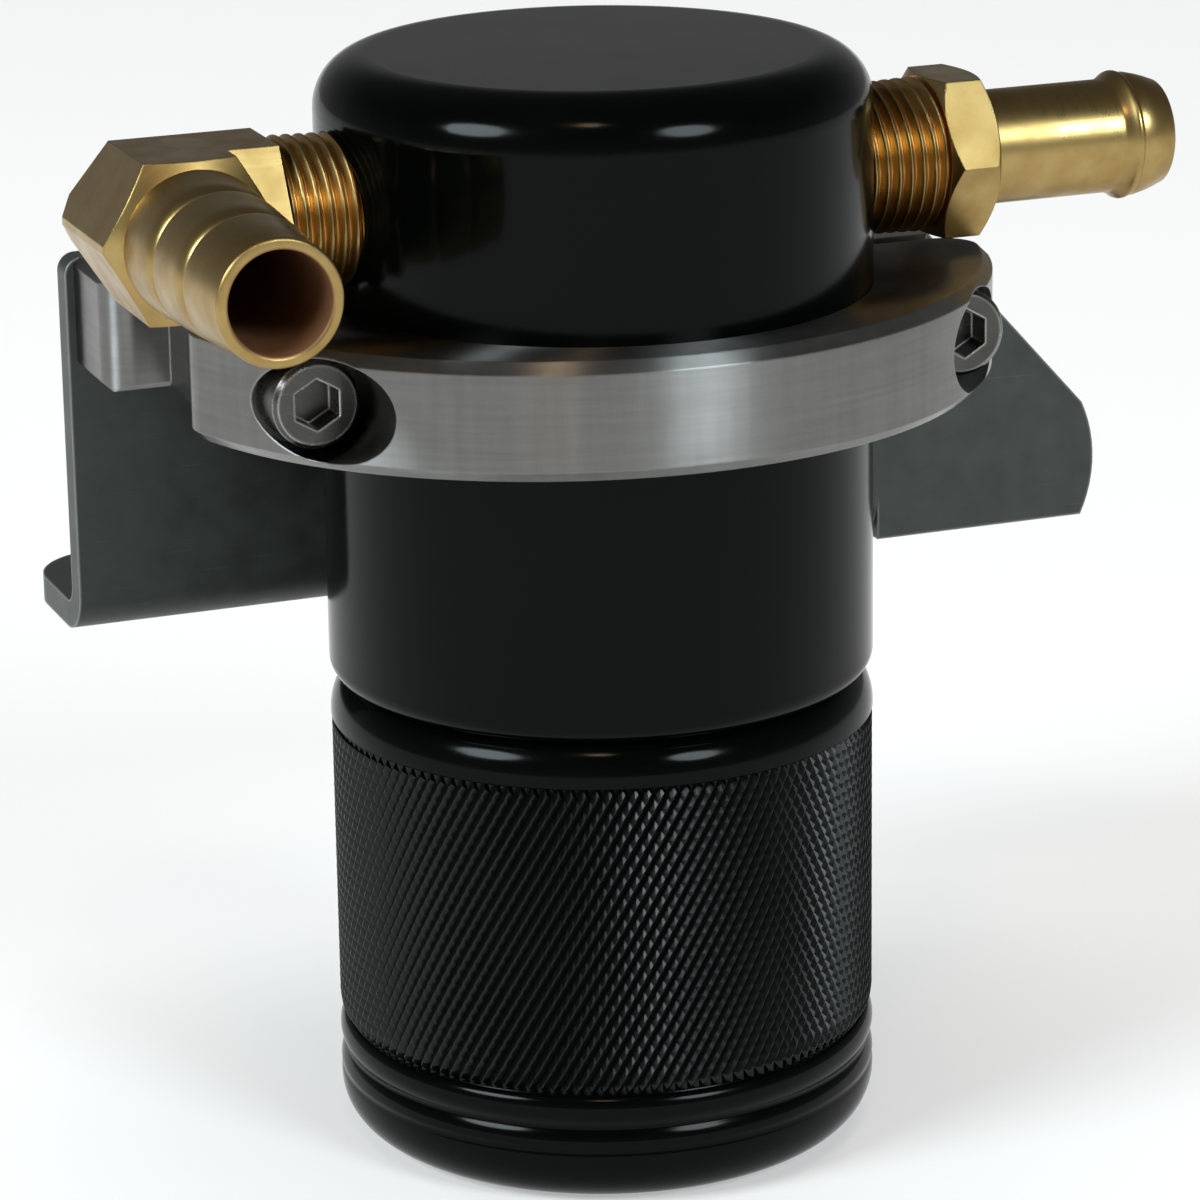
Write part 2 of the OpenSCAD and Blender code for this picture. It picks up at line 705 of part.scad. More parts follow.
// Rear half of the clamp: a bar with two arms round the back of the can
module clamp_rear() {
    inside = bar_half_width - bar_corner;
    color(aluminium) difference() {
        union() {
            intersection() {
                translate([0, 0, clamp_height]) linear_extrude(clamp_thick) union() {
                    translate([-inside, bar_front_y]) square([2 * inside, bar_depth]);
                    translate([-bar_half_width, bar_front_y + bar_corner])
                        square([2 * bar_half_width, bar_depth - bar_corner]);
                    for (side = [-1, 1]) translate([side * inside, bar_front_y + bar_corner])
                        circle(r = bar_corner);
                }
                bar_profile();
            }
            translate([-arm_half_width, arm_front_y, clamp_height])
                cube([2 * arm_half_width, plate_y - arm_front_y - bar_depth / 2, clamp_thick]);
        }
        translate([0, 0, clamp_height - past])
            cylinder(r = clamp_bore_r, h = clamp_thick + 2 * past);
        for (side = [-1, 1]) {
            bore_y(side * clamp_screw_x, clamp_mid_z, tapped_r, 0,
                clamp_screw_length + clamp_seat_y + tip_room);
            bore_y(side * button_x, clamp_mid_z, tapped_r, 0, plate_y + past);
        }
    }
}

// Outline of the bar seen from its end and from its front, with chamfered long edges
module bar_profile() {
    c = bar_chamfer;
    w = bar_half_width;
    intersection() {
        translate([-w - past, 0, clamp_height]) rotate([90, 0, 90])
            linear_extrude(2 * (w + past)) polygon([[bar_front_y + c, 0], [plate_y, 0],
                [plate_y, clamp_thick], [bar_front_y + c, clamp_thick],
                [bar_front_y, clamp_thick - c], [bar_front_y, c]]);
        translate([0, plate_y + past, clamp_height]) rotate([90, 0, 0])
            linear_extrude(bar_depth + 2 * past) polygon([[-w + c, 0], [w - c, 0], [w, c],
                [w, clamp_thick - c], [w - c, clamp_thick], [c - w, clamp_thick],
                [-w, clamp_thick - c], [-w, c]]);
    }
}

// Socket head screw along +Y, its head in front of the seat
module clamp_screw(side) {
    chamfer = 0.5;
    tip = 0.8;
    head_r = cap_head_dia / 2;
    color(dark_steel) translate([side * clamp_screw_x, clamp_seat_y, clamp_mid_z])
        rotate([-90, 0, 0]) difference() {
            union() {
                rotate_extrude() polygon([[0, -cap_head_height],
                    [head_r - chamfer, -cap_head_height],
                    [head_r, chamfer - cap_head_height], [head_r, 0], [0, 0]]);
                cylinder(r = screw_r, h = clamp_screw_length - tip);
                translate([0, 0, clamp_screw_length - tip])
                    cylinder(r1 = screw_r, r2 = screw_r - tip, h = tip);
            }
            translate([0, 0, -cap_head_height - past])
                prism(6, cap_hex / 2, cap_head_height / 2 + past);
        }
}

module clamp_screw_left() {
    clamp_screw(-1);
}

module clamp_screw_right() {
    clamp_screw(1);
}

// Folded bracket: upright plate with a slanted right end, and a foot folded to the rear
module bracket() {
    color(steel) difference() {
        union() {
            upright_plate();
            foot();
        }
        for (side = [-1, 1])
            bore_y(side * button_x, clamp_mid_z, clearance_r, plate_y - past,
                plate_back_y + past);
        for (side = [-1, 1])
            translate([foot_mid_x + side * foot_hole_spacing / 2, foot_hole_y,
                plate_bottom - past])
                cylinder(r = foot_hole_dia / 2, h = sheet_thick + 2 * past);
    }
}

// The upright plate, drawn as seen from the front and extruded to the rear
module upright_plate() {
    fold_top = plate_bottom + fold_outer;
    translate([0, plate_back_y, 0]) rotate([90, 0, 0]) linear_extrude(sheet_thick) union() {
        translate([-plate_left, fold_top])
            square([plate_left, clamp_top - plate_corner - fold_top]);
        translate([plate_corner - plate_left, clamp_top - plate_corner])
            circle(r = plate_corner);
        intersection() {
            polygon([[plate_corner - plate_left, fold_top], [foot_right, fold_top],
                [foot_right, plate_bottom], [slant_far_x, plate_bottom],
                [slant_far_x, slant_far_z], [slant_start, clamp_top],
                [plate_corner - plate_left, clamp_top]]);
            union() {
                translate([-plate_left, 0]) square([plate_left + end_x - end_bulge, can_height]);
                translate([plate_right - end_arc_r, plate_bottom + end_height / 2])
                    circle(r = end_arc_r);
            }
        }
    }
}

// The fold and the flat foot behind it, with rounded rear corners
module foot() {
    width = foot_right + plate_left;
    flat = foot_depth - fold_outer - foot_corner;
    translate([-plate_left, plate_y + fold_outer, plate_bottom + fold_outer])
        rotate([90, 0, 90]) linear_extrude(width) intersection() {
            difference() {
                circle(r = fold_outer);
                circle(r = fold_radius);
            }
            translate(-fold_outer * [1, 1] - past * [1, 1]) square(fold_outer + past);
        }
    translate([0, 0, plate_bottom]) linear_extrude(sheet_thick) union() {
        translate([-plate_left, plate_y + fold_outer]) square([width, flat]);
        translate([foot_corner - plate_left, plate_y + fold_outer])
            square([width - 2 * foot_corner, flat + foot_corner]);
        for (x = [foot_corner - plate_left, foot_right - foot_corner])
            translate([x, foot_back_y - foot_corner]) circle(r = foot_corner);
    }
}

// Flat washer behind the bracket
module flat_washer(side) {
    color(aluminium) translate([side * button_x, plate_back_y, clamp_mid_z])
        rotate([-90, 0, 0]) tube(clearance_r, washer_dia / 2, 0, washer_thick);
}

module flat_washer_left() {
    flat_washer(-1);
}

module flat_washer_right() {
    flat_washer(1);
}

// Split spring washer, pressed flat between the flat washer and the screw's head
module spring_washer(side) {
    slot = 0.6;
    color(dark_steel) translate([side * button_x, plate_back_y + washer_thick, clamp_mid_z])
        rotate([-90, 0, 0]) difference() {
            tube(clearance_r, spring_washer_dia / 2, 0, spring_washer_thick);
            translate([-slot / 2, 0, -past])
                cube([slot, spring_washer_dia, spring_washer_thick + 2 * past]);
        }
}

module spring_washer_left() {
    spring_washer(-1);
}

module spring_washer_right() {
    spring_washer(1);
}

// Button head screw from the rear, through the washers and the bracket into the bar
module bracket_screw(side) {
    head_r = button_dia / 2;
    dome_r = (pow(head_r, 2) + pow(button_height, 2)) / (2 * button_height);
    head_y = plate_back_y + washer_thick + spring_washer_thick;
    color(dark_steel) translate([side * button_x, head_y, clamp_mid_z])
        rotate([-90, 0, 0]) difference() {
            union() {
                intersection() {
                    translate([0, 0, button_height - dome_r]) sphere(r = dome_r);
                    cylinder(r = head_r, h = button_height);
                }
                translate([0, 0, -button_length]) cylinder(r = screw_r, h = button_length + past);
            }
            translate([0, 0, button_height / 2])
                prism(6, button_hex / 2, button_height);
        }
}

module bracket_screw_left() {
    bracket_screw(-1);
}

module bracket_screw_right() {
    bracket_screw(1);
}

can_body();
drain_cup();
cup_seal();
baffle_plate();
upper_screen();
filter_mesh();
lower_screen();
retaining_ring();
elbow_fitting();
straight_fitting();
clamp_front();
clamp_rear();
clamp_screw_left();
clamp_screw_right();
bracket();
bracket_screw_left();
bracket_screw_right();
spring_washer_left();
spring_washer_right();
flat_washer_left();
flat_washer_right();
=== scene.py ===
# %% [markdown]
# # An oil catch can for an engine bay
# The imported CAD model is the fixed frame: every node already has its real place
# and size in metres, with the origin in the middle of the can's flat base and +Z up.
# This script keeps the nodes whose shape is finished, and gives them real finishes.
# It makes again only what the plain solids leave out: the cup's diamond knurling and
# the fine lines of its outline, the screw threads that wind as a helix, and the rounded
# beads of the hose barb.

import math

import bpy
import numpy as np
from mathutils import Matrix, Vector


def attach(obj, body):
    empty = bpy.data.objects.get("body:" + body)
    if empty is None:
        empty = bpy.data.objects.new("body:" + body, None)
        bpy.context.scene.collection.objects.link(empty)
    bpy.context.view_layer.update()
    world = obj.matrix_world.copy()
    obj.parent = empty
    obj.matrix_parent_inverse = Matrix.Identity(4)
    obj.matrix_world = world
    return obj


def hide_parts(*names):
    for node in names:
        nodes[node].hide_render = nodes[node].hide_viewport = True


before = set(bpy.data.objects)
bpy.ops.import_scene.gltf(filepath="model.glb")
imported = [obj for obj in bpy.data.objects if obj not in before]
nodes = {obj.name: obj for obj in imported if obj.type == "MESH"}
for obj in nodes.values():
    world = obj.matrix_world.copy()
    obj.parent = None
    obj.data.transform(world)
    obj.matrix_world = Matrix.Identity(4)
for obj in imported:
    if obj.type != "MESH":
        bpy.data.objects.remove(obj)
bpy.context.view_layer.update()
MM = 0.001

# %% [markdown]
# ## Camera
# The photograph looks down a little on the can's left front corner. The camera was
# found by fitting the can's edges and the bracket's corners, so it has a long lens
# far away, almost no roll, and no shift.

# %% Camera
CAMERA_PLACE = (-189.4 * MM, -493.3 * MM, 221.9 * MM)
CAMERA_TURN = -21.0
CAMERA_PITCH = 17.035
CAMERA_ROLL = -0.865
CAMERA_LENS = 149.7


def add_camera():
    data = bpy.data.cameras.new("photo_camera")
    data.lens = CAMERA_LENS
    data.sensor_width = 36
    data.clip_start = 0.01
    data.clip_end = 50
    camera = bpy.data.objects.new("photo_camera", data)
    bpy.context.scene.collection.objects.link(camera)
    turn = Matrix.Rotation(math.radians(CAMERA_TURN), 4, "Z")
    tip = Matrix.Rotation(math.radians(90 - CAMERA_PITCH), 4, "X")
    roll = Matrix.Rotation(math.radians(CAMERA_ROLL), 4, "Z")
    camera.matrix_world = Matrix.Translation(CAMERA_PLACE) @ turn @ tip @ roll
    bpy.context.scene.camera = camera
    return camera


camera = add_camera()
print("camera", [round(v, 3) for v in camera.location])

# %% [markdown]
# ## Finishes
# Each finish is a small node tree. `Finish` opens one and keeps the few calls short:
# it makes nodes, joins them and sets plain numbers on the shader's own sockets.
# All patterns are laid out in the object's own coordinates, which here are metres in
# the row frame, so a scratch has the same real width on every piece.

# %% A helper for node trees
class Finish:
    """One material, with short calls for its nodes."""

    def __init__(self, name, **shader):
        self.material = bpy.data.materials.new(name)
        self.material.use_nodes = True
        self.tree = self.material.node_tree
        self.shader = self.tree.nodes["Principled BSDF"]
        for socket, value in shader.items():
            self.shader.inputs[socket.replace("_", " ")].default_value = value
        self.place = self.node("ShaderNodeTexCoord").outputs["Object"]

    def node(self, kind, settings=None, **inputs):
        made = self.tree.nodes.new(kind)
        for key, value in (settings or {}).items():
            setattr(made, key, value)
        for key, value in inputs.items():
            self.put(made.inputs[key.replace("_", " ")], value)
        return made

    def put(self, socket, value):
        if isinstance(value, bpy.types.NodeSocket):
            self.tree.links.new(value, socket)
        else:
            socket.default_value = value

    def math(self, operation, a, b=0.0, clamp=False):
        made = self.tree.nodes.new("ShaderNodeMath")
        made.operation = operation
        made.use_clamp = clamp
        self.put(made.inputs[0], a)
        self.put(made.inputs[1], b)
        return made.outputs[0]

    def noise(self, size, stretch=(1, 1, 1), detail=3.0, place=None):
        """Noise whose lumps are about size metres across, drawn out along an axis by stretch."""
        scaled = self.node("ShaderNodeMapping", Vector=place or self.place,
                           Scale=[1 / (size * s) for s in stretch])
        return self.node("ShaderNodeTexNoise", Vector=scaled.outputs[0],
                         Scale=1.0, Detail=detail).outputs["Fac"]

    def ramp(self, value, low, high, out_low=0.0, out_high=1.0):
        return self.node("ShaderNodeMapRange", Value=value, From_Min=low, From_Max=high,
                         To_Min=out_low, To_Max=out_high).outputs[0]

    def mix(self, share, a, b):
        made = self.node("ShaderNodeMix", {"data_type": "RGBA"}, Factor=share)
        self.put(made.inputs[6], a)
        self.put(made.inputs[7], b)
        return made.outputs[2]

    def split(self, vector):
        return self.node("ShaderNodeSeparateXYZ", Vector=vector).outputs

    def join(self, x, y, z):
        return self.node("ShaderNodeCombineXYZ", X=x, Y=y, Z=z).outputs[0]

    def set(self, **sockets):
        for key, value in sockets.items():
            self.put(self.shader.inputs[key.replace("_", " ")], value)

    def bump(self, height, strength, depth, edge=0.0):
        """Bump of the given depth in metres, over edges that are eased by edge metres."""
        made = self.node("ShaderNodeBump", Height=height, Strength=strength, Distance=depth)
        if edge:
            eased = self.node("ShaderNodeBevel", {"samples": 6}, Radius=edge)
            self.put(made.inputs["Normal"], eased.outputs[0])
        self.put(self.shader.inputs["Normal"], made.outputs[0])


def rgb(r, g, b):
    return (r, g, b, 1.0)


# %% [markdown]
# ### Black anodised aluminium
# The can was turned on a lathe, polished and then dyed black. The dye layer swallows
# nearly all light but keeps the polish, so it gets a very low specular level, a low
# roughness that draws the lamps with clear edges, and the faintest rings left by the
# tool. Handling leaves soft smears in the gloss. The knurled wall is rougher.

# %% Black anodised finish
def black_anodised(name, ring_depth, roughness, specular):
    f = Finish(name, Metallic=0.0, Specular_IOR_Level=specular)
    x, y, z = f.split(f.place)
    radius = f.math("SQRT", f.math("ADD", f.math("MULTIPLY", x, x), f.math("MULTIPLY", y, y)))
    rings = f.noise(0.00022, place=f.join(0.0, radius, z), detail=2.0)
    smear = f.noise(0.011, stretch=(1, 1, 2.2), detail=4.0)
    dust = f.ramp(f.noise(0.0006, detail=1.0), 0.72, 0.8)
    f.set(Base_Color=f.mix(smear, rgb(0.0004, 0.0008, 0.0006), rgb(0.001, 0.0015, 0.0013)),
          Roughness=f.math("ADD", f.ramp(smear, 0.3, 0.7, roughness - 0.03, roughness + 0.05),
                           f.math("MULTIPLY", dust, 0.06)))
    f.bump(rings, 0.25, ring_depth)
    return f.material


can_black = black_anodised("black_anodised_turned", 0.000003, 0.13, 0.085)
knurl_black = black_anodised("black_anodised_knurl", 0.000002, 0.3, 0.26)
print("black finishes", can_black.name, knurl_black.name)

# %% [markdown]
# ### Brass
# The fittings are bar brass: bright and golden where the tool or a hand has been, more
# orange down in the thread roots, and darkened to brown between the barbs as painted
# shade. The Geometry node's pointiness isn't kept by every renderer, so both come from
# Ambient Occlusion, over one millimetre for the thread roots and three for the valleys.
# Inside the elbow's bore the colour is painted dark brown as painted shade, and the metal
# is made rougher and less metallic there; the bore is found by its distance from its axis.

# %% Brass finish
TOOL_LINE = 0.00018
LINE_DRAWN_OUT = 40.0
THREAD_REACH = 0.0011
VALLEY_REACH = 0.003
ELBOW_BORE = (-0.0476, 0.1069, 0.00535)
BORE_FADE = (-0.008, -0.01)


def golden_brass(name, line_axis, bore=None):
    """Brass with tool lines; bore is the x, z and radius of a bore along y with painted shade.
    """
    f = Finish(name, Metallic=1.0)
    stretch = [LINE_DRAWN_OUT] * 3
    stretch[line_axis] = 1.0
    tool = f.noise(TOOL_LINE, stretch=stretch, detail=2.0)
    patch = f.noise(0.0042, detail=5.0)
    spots = f.ramp(f.noise(0.0013, detail=3.0), 0.6, 0.75)
    hollow = f.node("ShaderNodeAmbientOcclusion", {"samples": 8},
                    Distance=THREAD_REACH).outputs["AO"]
    valley = f.node("ShaderNodeAmbientOcclusion", {"samples": 8},
                    Distance=VALLEY_REACH).outputs["AO"]
    clean = f.mix(f.ramp(patch, 0.35, 0.7), rgb(0.4, 0.28, 0.11), rgb(0.31, 0.2, 0.068))
    marked = f.mix(f.math("MULTIPLY", spots, 0.4), clean, rgb(0.28, 0.17, 0.06))
    # painted shade: the colour darkens to brown in the valleys between the barbs, found by
    # Ambient Occlusion
    with_valley_shade = f.mix(f.ramp(valley, 0.3, 0.75), rgb(0.24, 0.14, 0.045), marked)
    colour = f.mix(f.ramp(hollow, 0.35, 0.8), rgb(0.5, 0.26, 0.07), with_valley_shade)
    rough = f.math("ADD", f.ramp(patch, 0.3, 0.7, 0.22, 0.34), f.math("MULTIPLY", tool, 0.1))
    if bore:
        x, y, z = f.split(f.place)
        across, up = f.math("SUBTRACT", x, bore[0]), f.math("SUBTRACT", z, bore[1])
        off = f.math("SQRT", f.math("ADD", f.math("MULTIPLY", across, across),
                                    f.math("MULTIPLY", up, up)))
        inside = f.math("MULTIPLY", f.ramp(off, bore[2] + 0.0003, bore[2] + 0.0001),
                        f.ramp(y, *BORE_FADE))
        # painted shade inside the elbow's bore: the colour goes dark brown there
        colour = f.mix(inside, colour, rgb(0.2, 0.09, 0.04))
        rough = f.math("ADD", rough, f.math("MULTIPLY", inside, 0.2))
        f.set(Metallic=f.ramp(inside, 0.0, 1.0, 1.0, 0.5))
    f.set(Base_Color=colour, Roughness=rough)
    f.bump(tool, 0.35, 0.000012, edge=0.00022)
    return f.material


brass_along_x = golden_brass("brass_turned_about_x", 0)
brass_along_y = golden_brass("brass_elbow", 1, bore=ELBOW_BORE)
print("brass finishes", brass_along_x.name, brass_along_y.name)

# %% [markdown]
# ### Brushed aluminium
# The clamp was milled from bar and its outside brushed along its length. Brush lines
# spread a highlight across themselves, so the soft lamps show as tall bright bands with
# crisp sides. Anisotropy about Z gives those bands, long thin noise gives the lines, and
# noise drawn out upright gives the soft changes of tone along the band.

# %% Brushed aluminium finish
CLOUD_LIFT = 1.12
NICK_GREY = (0.3, 0.29, 0.28, 1.0)
QUARTER_TURN = 0.25


def brushed_aluminium(name, base, anisotropic):
    f = Finish(name, Metallic=1.0, Anisotropic=anisotropic)
    lines = f.noise(0.00016, stretch=(90, 90, 1), detail=4.0)
    streaks = f.ramp(f.noise(0.0005, stretch=(26, 26, 1), detail=3.0), 0.3, 0.7, 0.93, 1.03)
    upright = f.ramp(f.noise(0.0016, stretch=(1, 1, 12), detail=3.0), 0.3, 0.7, 0.93, 1.06)
    cloud = f.noise(0.006, stretch=(1.6, 1.6, 0.7), detail=4.0)
    nicks = f.ramp(f.noise(0.0012, stretch=(3, 3, 0.5), detail=2.0), 0.68, 0.78)
    pale = [CLOUD_LIFT * c for c in base]
    tone = f.mix(f.ramp(cloud, 0.3, 0.7), rgb(*base), rgb(*pale))
    brushed = f.node("ShaderNodeVectorMath", {"operation": "SCALE"},
                     Scale=f.math("MULTIPLY", streaks, upright))
    f.put(brushed.inputs[0], tone)
    f.set(Base_Color=f.mix(f.math("MULTIPLY", nicks, 0.25), brushed.outputs[0], NICK_GREY),
          Roughness=f.math("ADD", f.ramp(cloud, 0.3, 0.7, 0.24, 0.32),
                           f.math("MULTIPLY", lines, 0.12)))
    if anisotropic:
        ring = f.node("ShaderNodeTangent", {"direction_type": "RADIAL", "axis": "Z"})
        f.set(Tangent=ring.outputs[0], Anisotropic_Rotation=QUARTER_TURN)
    f.bump(lines, 0.25, 0.000015, edge=0.00035)
    return f.material


clamp_metal = brushed_aluminium("aluminium_brushed", (0.215, 0.212, 0.206), 0.98)
plain_metal = brushed_aluminium("aluminium_rolled", (0.56, 0.565, 0.57), 0.0)
print("aluminium finishes", clamp_metal.name, plain_metal.name)

# %% [markdown]
# ### Steel
# The bracket is cold rolled sheet with a dull satin grey, a little mottled, with paler
# sheared edges. The screws are blackened alloy steel, rubbed bright on their rims.

# %% Steel finishes
MOTTLE_DARK = 0.72
SCRATCH_SHARE = 0.08
WORN_EDGE = 0.0005


def satin_steel(name, base, edge_pale, metallic, rough_low, rough_high):
    f = Finish(name, Metallic=metallic)
    mottle = f.noise(0.0035, detail=6.0)
    grain = f.noise(0.0002, stretch=(25, 1, 1), detail=2.0)
    scratch = f.ramp(f.noise(0.0009, stretch=(9, 1, 0.4), detail=1.0), 0.7, 0.74)
    eased = f.node("ShaderNodeBevel", {"samples": 6}, Radius=WORN_EDGE).outputs[0]
    flat = f.node("ShaderNodeNewGeometry").outputs["Normal"]
    facing = f.node("ShaderNodeVectorMath", {"operation": "DOT_PRODUCT"})
    f.put(facing.inputs[0], eased)
    f.put(facing.inputs[1], flat)
    worn = f.ramp(facing.outputs["Value"], 0.985, 0.9)
    dark = [MOTTLE_DARK * c for c in base]
    body = f.mix(f.ramp(mottle, 0.3, 0.7), rgb(*dark), rgb(*base))
    body = f.mix(f.math("MULTIPLY", scratch, SCRATCH_SHARE), body, rgb(*edge_pale))
    f.set(Base_Color=f.mix(worn, body, rgb(*edge_pale)),
          Roughness=f.math("ADD", f.ramp(mottle, 0.3, 0.7, rough_low, rough_high),
                           f.math("MULTIPLY", grain, 0.06)))
    f.bump(grain, 0.2, 0.00001, edge=0.0003)
    return f.material


bracket_grey = satin_steel("steel_sheet_satin", (0.06, 0.068, 0.063), (0.28, 0.29, 0.28),
                           0.6, 0.38, 0.48)
screw_steel = satin_steel("steel_blackened", (0.085, 0.082, 0.076), (0.5, 0.49, 0.47),
                          0.9, 0.2, 0.3)
washer_steel = satin_steel("steel_zinc", (0.42, 0.42, 0.43), (0.6, 0.6, 0.6),
                           1.0, 0.3, 0.4)
print("steel finishes", bracket_grey.name, screw_steel.name, washer_steel.name)

# %% [markdown]
# ### Rubber and the filter's wire
# The seal is matt nitrile rubber. The filter pad is knitted wire: crossed waves in
# three directions stand in for its loops, and the gaps between are painted shade.

# %% Rubber and wire finishes
def nitrile_rubber():
    f = Finish("nitrile_rubber", Roughness=0.55, Specular_IOR_Level=0.4)
    speck = f.noise(0.0004, detail=3.0)
    f.set(Base_Color=f.mix(speck, rgb(0.012, 0.012, 0.012), rgb(0.028, 0.028, 0.027)))
    f.bump(speck, 0.3, 0.00003)
    return f.material


LOOPS_PER_METRE = 5200.0


def knitted_wire():
    f = Finish("knitted_wire", Metallic=0.9)
    x, y, z = f.split(f.place)
    loops = []
    for a, b in ((x, y), (y, z), (z, x)):
        first = f.math("SINE", f.math("MULTIPLY", f.math("ADD", a, b), LOOPS_PER_METRE))
        second = f.math("SINE", f.math("MULTIPLY", f.math("SUBTRACT", a, b),
                                       LOOPS_PER_METRE))
        loops.append(f.math("MAXIMUM", first, second))
    weave = f.math("MAXIMUM", loops[0], f.math("MAXIMUM", loops[1], loops[2]))
    wire = f.ramp(weave, 0.2, 0.9)
    # painted shade: the gaps between the wire loops are painted near black
    f.set(Base_Color=f.mix(wire, rgb(0.03, 0.03, 0.03), rgb(0.5, 0.5, 0.48)),
          Roughness=f.ramp(wire, 0.0, 1.0, 0.6, 0.3))
    f.bump(wire, 0.8, 0.0002)
    return f.material


seal_rubber = nitrile_rubber()
mesh_wire = knitted_wire()
print("soft finishes", seal_rubber.name, mesh_wire.name)

# %% [markdown]
# ## Finishes for the nodes that keep their CAD shape
# Most pieces are flat, drilled or turned exactly as they are in the solids, so they
# stay. Only their material slots change.

# %% Put a finish on each kept node
KEPT = {
    "can_body": can_black,
    "cup_seal": seal_rubber,
    "baffle_plate": plain_metal,
    "upper_screen": washer_steel,
    "lower_screen": washer_steel,
    "filter_mesh": mesh_wire,
    "retaining_ring": screw_steel,
    "clamp_front": clamp_metal,
    "clamp_rear": clamp_metal,
    "clamp_screw_left": screw_steel,
    "clamp_screw_right": screw_steel,
    "bracket": bracket_grey,
    "bracket_screw_left": screw_steel,
    "bracket_screw_right": screw_steel,
    "spring_washer_left": screw_steel,
    "spring_washer_right": screw_steel,
    "flat_washer_left": washer_steel,
    "flat_washer_right": washer_steel,
}


def paint(node_name, material):
    mesh = nodes[node_name].data
    mesh.materials.clear()
    mesh.materials.append(material)


for node_name, material in KEPT.items():
    paint(node_name, material)
print("kept nodes", len(KEPT))

# %% [markdown]
# ## Meshes from rows of points
# Turned and wound shapes are grids: rows of points round an axis, joined by quads.
# `grid_faces` joins such rows, and `new_piece` makes the object, puts its finish on and
# hangs it on its CAD body.

# %% Grid and piece helpers
def grid_faces(rows, columns):
    """Quads between rows of points, where each row goes right round."""
    faces = []
    for r in range(rows - 1):
        for c in range(columns):
            a = r * columns + c
            b = r * columns + (c + 1) % columns
            faces.append((a, b, b + columns, a + columns))
    return faces


def new_piece(name, points, faces, material, body, smooth=True, sharp=35.0):
    mesh = bpy.data.meshes.new(name)
    mesh.from_pydata([tuple(p) for p in points], [], faces)
    mesh.validate()
    mesh.materials.append(material)
    obj = bpy.data.objects.new(name, mesh)
    bpy.context.scene.collection.objects.link(obj)
    if smooth:
        mesh.shade_smooth()
        mesh.set_sharp_from_angle(angle=math.radians(sharp))
    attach(obj, body)
    print(name, len(points), "points", len(faces), "faces")
    return obj


def turned(profile, steps):
    """Points of a closed outline of (radius, height), turned round Z, and their faces."""
    profile = np.array(profile, float)
    turn = np.linspace(0, 2 * math.pi, steps, endpoint=False)
    rings = [np.stack([r * np.cos(turn), r * np.sin(turn), np.full(steps, z)], 1)
             for r, z in profile]
    count = len(profile)
    faces = grid_faces(count, steps)
    last = (count - 1) * steps
    faces += [(last + c, last + (c + 1) % steps, (c + 1) % steps, c) for c in range(steps)]
    return np.concatenate(rings) * MM, faces


def arc(centre, radius, start, end, steps):
    """Points on an arc in the (radius, height) plane, angles in degrees."""
    return [(centre[0] + radius * math.cos(math.radians(a)),
             centre[1] + radius * math.sin(math.radians(a)))
            for a in np.linspace(start, end, steps)]


def oval(centre, wide, tall, start, end, steps):
    """As arc, for a rounding with a different depth and height."""
    return [(centre[0] + wide * math.cos(math.radians(a)),
             centre[1] + tall * math.sin(math.radians(a)))
            for a in np.linspace(start, end, steps)]


# %% [markdown]
# ## The drain cup
# The real cup is turned from bar, knurled between two smooth bands, and threaded on
# its neck. Its turned outline goes round as one closed skin, base, wall, neck and
# bore. Under the knurling that skin is sunk a little, and the knurling covers it.

# %% Sizes of the cup, in millimetres
CAN_R = 30.15
SEAM_Z = 52.9
KNURL_LOW = 13.0
KNURL_HIGH = 48.1
KNURL_ROOT = 29.47
KNURL_CREST = 30.08
KNURL_EASE = 2.2
KNURL_FALL = 0.7
SKIN_UNDER_KNURL = 0.1
BASE_ROUND = 5.4
BAND_ROUND = 2.8
BAND_START = 7.35
SEAM_ROUND = 3
NECK_R = 25.9
SEAL_R = 23.7
SEAL_LOW, SEAL_HIGH = 53.8, 56.4
THREAD_DEPTH = 0.857
THREAD_LOW = 57.9
THREAD_HIGH = 61.9
NECK_TOP = 62.4
CUP_BORE_R = 22.5
CUP_FLOOR = 5.0
CUP_BORE_ROUND = 3
CUP_PITCH = 1.5875


def knurl_drop(z):
    """How far the knurled wall falls away near its lower end."""
    return KNURL_FALL * max(0.0, (KNURL_LOW + KNURL_EASE - z) / KNURL_EASE) ** 2


